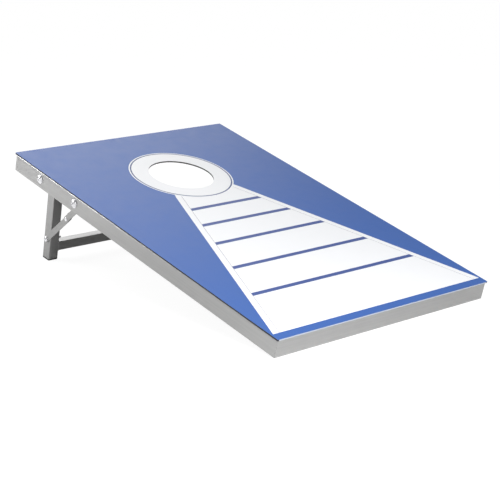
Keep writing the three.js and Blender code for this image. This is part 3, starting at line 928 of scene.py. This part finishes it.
def make_pivots():
    """The bolts, rivets, washers and spacers that stay with the board."""
    head = RAIL_OUTER + PIVOT_WASHER_THICKNESS
    head_points = head_profile(head, PIVOT_HEAD, PIVOT_HEAD_TOP - head, PIVOT_RECESS)
    nut_face = LEG_INNER - GAP - PIVOT_WASHER_THICKNESS
    nut_bore = PIVOT_SHANK + NUT_THREAD_GAP
    past_nut = 1
    bolt = shank_profile(PIVOT_SHANK, nut_face - NUT_HEIGHT - past_nut, head) + head_points
    tail = UPPER_LINK[0] - GAP
    tail_points = [(4.6, tail - 0.6), (5.5, tail - 0.3), (5.5, tail), (PIVOT_SHANK, tail)]
    rivet = [(0, tail - 0.6)] + soften(tail_points, 0.25) + [(PIVOT_SHANK, head)] + head_points
    washer = washer_profile(PIVOT_BORE, PIVOT_WASHER, RAIL_OUTER, head)
    inner_end = nut_face + PIVOT_WASHER_THICKNESS
    inner = washer_profile(PIVOT_BORE, PIVOT_INNER_WASHER, nut_face, inner_end)
    spacer = washer_profile(PIVOT_BORE, PIVOT_SPACER, LEG_OUTER + GAP, RAIL_INNER)
    stay_spacer = washer_profile(PIVOT_BORE, STAY_PIVOT_SPACER, UPPER_LINK[1] + GAP, RAIL_INNER)
    steel = (ZINC, "zinc_steel")
    nylon = (NYLON, "nylon")
    for name, side in SIDES:
        nut = nut_shape(side, nut_face, NUT_HEIGHT, NUT_FLATS, nut_bore)
        for label, node, shape, y, (material, slot) in (
            ("pivot_bolt_", "leg_pivot_bolt_", spin(bolt, side), PIVOT_Y, steel),
            ("pivot_nut_", "leg_pivot_nut_", nut, PIVOT_Y, steel),
            ("pivot_inner_washer_", "leg_pivot_inner_washer_", spin(inner, side), PIVOT_Y, steel),
            ("pivot_spacer_", "leg_pivot_spacer_", spin(spacer, side), PIVOT_Y, nylon),
            ("stay_pivot_rivet_", "stay_rail_rivet_", spin(rivet, side), STAY_PIVOT_Y, steel),
            ("stay_pivot_spacer_", "stay_rail_spacer_", spin(stay_spacer, side), STAY_PIVOT_Y, nylon),
            ("pivot_washer_", "leg_pivot_washer_", spin(washer, side), PIVOT_Y, steel),
            ("stay_pivot_washer_", "stay_rail_washer_", spin(washer, side), STAY_PIVOT_Y, steel),
        ):
            shape = moved(shape, y, PIVOT_Z)
            piece(label + name, shape, BOARD, material, "board", slot, node + name)


# ------------------------------------------------------------------ legs


def square_ring(size, corner, z):
    """A square outline with round corners, at one height."""
    half = size / 2
    return [(x, y, z) for x, y in rounded_rectangle(-half, -half, half, half, corner, 6)]


def cap_shape(flange, depth, crown):
    """A moulded tube plug standing on z = 0: a flange, then a ribbed insert that points up."""
    insert = LEG_SIZE - 2 * TUBE_WALL - GAP
    core = insert - 1.2
    rib_pitch = 2.6
    rings = [square_ring(insert - 8, 1.5, 1.2), square_ring(insert - 7.4, 1.7, 0.25)]
    rings.append(square_ring(insert - 6.8, 2, 0))
    for degrees in (0, 22, 45, 68, 90):
        turn = math.radians(degrees)
        size = LEG_SIZE - 2 * crown * (1 - math.sin(turn))
        rings.append(square_ring(size, 2 + crown * 0.3 * math.sin(turn), crown * (1 - math.cos(turn))))
    rings += [square_ring(LEG_SIZE, 2, flange - 0.25), square_ring(LEG_SIZE - 0.5, 1.8, flange)]
    rings.append(square_ring(core, 0.9, flange))
    at = flange + 0.8
    while at < flange + depth - 2.2:
        rings += [square_ring(core, 0.9, at), square_ring(insert, 1.1, at + 0.5)]
        rings += [square_ring(insert, 1.1, at + 1.0), square_ring(core, 0.9, at + 1.6)]
        at += rib_pitch
    rings.append(square_ring(core, 0.9, flange + depth - 1))
    rings.append(square_ring(insert - 3, 0.7, flange + depth))
    return loft(rings)


def weld_shape(side):
    """A rippled bead round the end of the crossbar, where it meets the leg."""
    bead = 1.45
    step = 0.35
    half = CROSSBAR_SIZE / 2
    path = rounded_rectangle(-half, -half, half, half, TUBE_CORNER, 8)
    dense = []
    for i, (y0, z0) in enumerate(path):
        y1, z1 = path[(i + 1) % len(path)]
        parts = max(1, round(math.hypot(y1 - y0, z1 - z0) / step))
        dense += [(y0 + (y1 - y0) * k / parts, z0 + (z1 - z0) * k / parts) for k in range(parts)]
    rings = []
    travelled = 0.0
    for i, (y, z) in enumerate(dense):
        y1, z1 = dense[(i + 1) % len(dense)]
        yb, zb = dense[i - 1]
        along = Vector((y1 - yb, z1 - zb)).normalized()
        out = Vector((along.y, -along.x))
        ripple = 1 + 0.12 * abs(math.sin(travelled * math.pi / 1.6)) + 0.05 * math.sin(travelled * 0.9)
        ring = []
        for across, lift in circle(0, 0, bead * ripple, 14):
            place = Vector((y, z)) + out * (lift * 0.85 + 0.1)
            ring.append((side * (LEG_INNER - GAP + across * 0.95), place.x, place.y - CROSSBAR_DROP))
        rings.append(ring)
        travelled += math.hypot(y1 - y, z1 - z)
    return loft(rings, closed=True)


def make_legs():
    """Both legs, the crossbar welded between them, and what turns with them."""
    bottom = FOOT_FLANGE - LEG_REACH
    for name, side in SIDES:
        middle = side * (LEG_OUTER - LEG_SIZE / 2)
        low = middle - LEG_SIZE / 2
        through = (low - DRILL_MARGIN, low + LEG_SIZE + DRILL_MARGIN)
        points, faces = tube_shape(LEG_SIZE, LEG_SIZE, LEG_TOP - bottom)
        points = [(low + u, v - LEG_SIZE / 2, bottom + z) for u, v, z in points]
        shape = (points, faces)
        holes = [(0, 0, PIVOT_BORE, *through), (0, -STAY_DROP, BOLT_BORE, *through)]
        metal = LEG_METAL[2]
        node = "leg_tube_" + name
        piece("leg_" + name, shape, LEG, metal, "leg_frame", "aluminium_tube", node, holes=holes)

        points, faces = cap_shape(FOOT_FLANGE, depth=16, crown=1.6)
        points = [(middle + x, y, z - LEG_REACH) for x, y, z in points]
        node = "foot_cap_" + name
        piece("foot_" + name, (points, faces), LEG, BLACK, "leg_frame", "black_plastic", node)
        points, faces = cap_shape(PLUG_FLANGE, depth=4, crown=1.2)
        points = [(middle + x, -y, LEG_TOP + PLUG_FLANGE + GAP - z) for x, y, z in points]
        node = "leg_top_plug_" + name
        piece("top_plug_" + name, (points, faces), LEG, BLACK, "leg_frame", "black_plastic", node)

        weld = weld_shape(side)
        piece("crossbar_weld_" + name, weld, LEG, WELD, "leg_frame", "aluminium_tube")

        head = LOWER_LINK[1] + GAP
        tip = LEG_INNER - 2 * NUT_HEIGHT
        profile = shank_profile(BOLT_SHANK, tip, head)
        profile += head_profile(head, radius=6.5, height=3, recess=2)
        bolt = moved(spin(profile, side), 0, -STAY_DROP)
        node = "stay_leg_bolt_" + name
        piece("stay_bolt_" + name, bolt, LEG, ZINC, "leg_frame", "zinc_steel", node)
        bore = BOLT_SHANK + NUT_THREAD_GAP
        nut = moved(nut_shape(side, LEG_INNER, NUT_HEIGHT, NUT_FLATS, bore), 0, -STAY_DROP)
        node = "stay_leg_nut_" + name
        piece("stay_nut_" + name, nut, LEG, ZINC, "leg_frame", "zinc_steel", node)
        washer = spin(washer_profile(BOLT_BORE, BOLT_WASHER, LEG_OUTER, LOWER_LINK[0] - GAP), side)
        washer = moved(washer, 0, -STAY_DROP)
        node = "stay_leg_washer_" + name
        piece("stay_washer_" + name, washer, LEG, NYLON, "leg_frame", "nylon", node)

    weld_gap = 0.1
    length = 2 * (LEG_INNER - weld_gap)
    points, faces = tube_shape(CROSSBAR_SIZE, CROSSBAR_SIZE, length)
    half = CROSSBAR_SIZE / 2
    points = [(z - length / 2, u - half, v - half - CROSSBAR_DROP) for u, v, z in points]
    piece("crossbar", (points, faces), LEG, LEG_METAL[0], "leg_frame", "aluminium_tube", "leg_crossbar")


# ------------------------------------------------------------------ stays


def link_shape(outline, bores, side, reach):
    """A flat link with holes along its middle, each given as [distance, radius]."""
    loops = [outline]
    for y, radius in bores:
        loops.append(list(reversed(circle(y, 0, radius + LINK_EDGE, 48))))
    return upright(slab(loops, 0, 1, LINK_EDGE / LINK_THICKNESS), side, *reach)


def make_stays():
    """Each side's two links, and the halves of the rivet between them, which turn apart."""
    half = LINK_WIDTH / 2 - LINK_EDGE
    upper = arc(KNEE, 0, half, -90, 90, 24) + arc(0, 0, half, 90, 270, 24)
    tip = KNEE - 12.5
    ear_top = half + 2.5
    lower = arc(STAY_LENGTH, 0, half, -90, 90, 24)
    ear = [(tip + 6, half), (tip + 5, half + 1.2), (tip + 4, ear_top), (tip - 0.5, ear_top)]
    lower += soften(ear, 1.2, 5)
    lower += arc(tip, 0, half, 112, 270, 24)

    middle = (UPPER_LINK[0] + LOWER_LINK[1]) / 2
    split = 0.05
    base = UPPER_LINK[1]
    crown = base + 1.3
    head = [(4.8, base), (4.8, base + 0.6), (3.5, base + 0.8), (3.5, crown), (0, crown)]
    head = [(0, middle + split), (KNEE_SHANK, middle + split), (KNEE_SHANK, base)] + soften(head, 0.3)
    low = LEG_OUTER + GAP
    tail = soften([(0, low), (3.4, low), (4, low + 0.4), (4, LOWER_LINK[0])], 0.3)
    tail += [(KNEE_SHANK, LOWER_LINK[0]), (KNEE_SHANK, middle - split), (0, middle - split)]
    for name, side in SIDES:
        shape = link_shape(upper, [(0, PIVOT_BORE), (KNEE, KNEE_BORE)], side, UPPER_LINK)
        body = "upper_link_" + name
        node = "stay_upper_link_" + name
        piece("upper_stay_" + name, shape, STAY, LEG_METAL[1], body, "aluminium_tube", node)
        shape = link_shape(lower, [(KNEE, KNEE_BORE), (STAY_LENGTH, BOLT_BORE)], side, LOWER_LINK)
        body = "lower_link_" + name
        node = "stay_lower_link_" + name
        piece("lower_stay_" + name, shape, STAY, LEG_METAL[1], body, "aluminium_tube", node)

        shape = moved(spin(head, side), KNEE, 0)
        node = "knee_rivet_head_" + name
        piece("knee_head_" + name, shape, STAY, ZINC, "upper_link_" + name, "zinc_steel", node)
        shape = moved(spin(tail, side), KNEE, 0)
        node = "knee_rivet_tail_" + name
        piece("knee_tail_" + name, shape, STAY, ZINC, "lower_link_" + name, "zinc_steel", node)


# ------------------------------------------------------------------ stage


def floor_material():
    """White studio paper. The camera sees it mostly as an even glow, so only a faint shadow
    shows, while the object gets the light that plain paper throws back."""
    material = bpy.data.materials.new("floor")
    material.use_nodes = True
    tree = material.node_tree
    tree.nodes.clear()
    bounce = tree.nodes.new("ShaderNodeBsdfDiffuse")
    bounce.inputs["Color"].default_value = (0.8, 0.8, 0.8, 1)
    paper = tree.nodes.new("ShaderNodeBsdfDiffuse")
    paper.inputs["Color"].default_value = (0.95, 0.95, 0.95, 1)
    glow = tree.nodes.new("ShaderNodeEmission")
    glow.inputs["Strength"].default_value = 1.1
    seen = tree.nodes.new("ShaderNodeMixShader")
    seen.inputs["Fac"].default_value = 0.85
    tree.links.new(paper.outputs["BSDF"], seen.inputs[1])
    tree.links.new(glow.outputs["Emission"], seen.inputs[2])
    either = tree.nodes.new("ShaderNodeMixShader")
    path = tree.nodes.new("ShaderNodeLightPath")
    tree.links.new(path.outputs["Is Camera Ray"], either.inputs["Fac"])
    tree.links.new(bounce.outputs["BSDF"], either.inputs[1])
    tree.links.new(seen.outputs["Shader"], either.inputs[2])
    result = tree.nodes.new("ShaderNodeOutputMaterial")
    tree.links.new(either.outputs["Shader"], result.inputs["Surface"])
    return material


def make_floor():
    """A wide floor, a hair's breadth under the feet."""
    mesh = bpy.data.meshes.new("floor")
    reach = 40
    clearance = 0.0002
    corners = [(-reach, -reach, 0), (reach, -reach, 0), (reach, reach, 0), (-reach, reach, 0)]
    mesh.from_pydata(corners, [], [(0, 1, 2, 3)])
    mesh.materials.append(floor_material())
    floor = bpy.data.objects.new("floor", mesh)
    floor.location.z = min(0, foot_low.z) - clearance
    bpy.context.scene.collection.objects.link(floor)


def make_light(name, place, aim, size, power):
    """A soft panel that the camera doesn't see."""
    data = bpy.data.lights.new(name, "AREA")
    data.shape = "RECTANGLE"
    data.size, data.size_y = size
    data.energy = power
    light = bpy.data.objects.new(name, data)
    light.location = place
    light.rotation_euler = (Vector(aim) - Vector(place)).to_track_quat("-Z", "Y").to_euler()
    light.visible_camera = False
    bpy.context.scene.collection.objects.link(light)


def make_world(level, glow, towards, inner, outer):
    """A white surround that gives a soft fill, with a broad soft glow in one direction. Inner
    and outer are the angles from that direction, in degrees, where the glow fades."""
    world = bpy.data.worlds.new("studio")
    world.use_nodes = True
    tree = world.node_tree
    background = tree.nodes["Background"]
    background.inputs["Color"].default_value = (1, 1, 1, 1)
    sky = tree.nodes.new("ShaderNodeTexCoord")
    facing = tree.nodes.new("ShaderNodeVectorMath")
    facing.operation = "DOT_PRODUCT"
    facing.inputs[1].default_value = Vector(towards).normalized()
    tree.links.new(sky.outputs["Generated"], facing.inputs[0])
    lobe = tree.nodes.new("ShaderNodeMapRange")
    lobe.interpolation_type = "SMOOTHERSTEP"
    lobe.inputs["From Min"].default_value = math.cos(math.radians(outer))
    lobe.inputs["From Max"].default_value = math.cos(math.radians(inner))
    lobe.inputs["To Min"].default_value = level
    lobe.inputs["To Max"].default_value = level + glow
    tree.links.new(facing.outputs["Value"], lobe.inputs["Value"])
    path = tree.nodes.new("ShaderNodeLightPath")
    strength = tree.nodes.new("ShaderNodeMix")
    tree.links.new(path.outputs["Is Camera Ray"], strength.inputs["Factor"])
    tree.links.new(lobe.outputs["Result"], strength.inputs["A"])
    strength.inputs["B"].default_value = 1.0
    tree.links.new(strength.outputs["Result"], background.inputs["Strength"])
    bpy.context.scene.world = world


def make_camera():
    """A long lens low over the board's front left corner."""
    azimuth = math.radians(-41.858)
    elevation = math.radians(15.704)
    roll = math.radians(1.206)
    distance = 3.1934
    aim = Vector((0.0220, 0, 0.0587))
    back = Vector(
        (
            math.sin(azimuth) * math.cos(elevation),
            -math.cos(azimuth) * math.cos(elevation),
            math.sin(elevation),
        )
    )
    data = bpy.data.cameras.new("camera")
    data.lens = 102.88
    data.sensor_width = 36
    data.clip_start = 0.05
    data.clip_end = 200
    camera = bpy.data.objects.new("camera", data)
    level = (-back).to_track_quat("-Z", "Y").to_matrix().to_4x4()
    place = Matrix.Translation(aim + back * distance)
    camera.matrix_world = place @ level @ Matrix.Rotation(roll, 4, "Z")
    bpy.context.scene.collection.objects.link(camera)
    bpy.context.scene.camera = camera


def finish_corner_keys():
    """The keys hidden in the mitres stay as the frame has them, and only take a material."""
    for name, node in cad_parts.items():
        if name.startswith("corner_key"):
            node.data.materials.clear()
            node.data.materials.append(BLACK)


make_film()
make_panel()
make_rails()
make_tapes()
make_cross_rail()
make_pivots()
make_legs()
make_stays()
finish_corner_keys()

make_floor()
make_world(level=0.36, glow=2.25, towards=(0.453, 0.785, 0.423), inner=4, outer=23)
make_light("key", place=(-0.45, -1.2, 0.8), aim=(-0.1, -0.5, 0), size=(0.6, 0.5), power=9.5)
make_light("high_key", place=(-0.5, -1.9, 1.9), aim=(0, -0.3, 0), size=(0.8, 0.8), power=28)
make_light("back_left", place=(-0.9, 1.15, 0.9), aim=(-0.7, 0.8, 0), size=(0.6, 0.6), power=3)
make_light("strip", place=(-1.3, 1.5, 0.74), aim=(-0.3, 0.35, 0.2), size=(0.9, 0.2), power=12)
bpy.context.scene.view_settings.view_transform = "Standard"
make_camera()
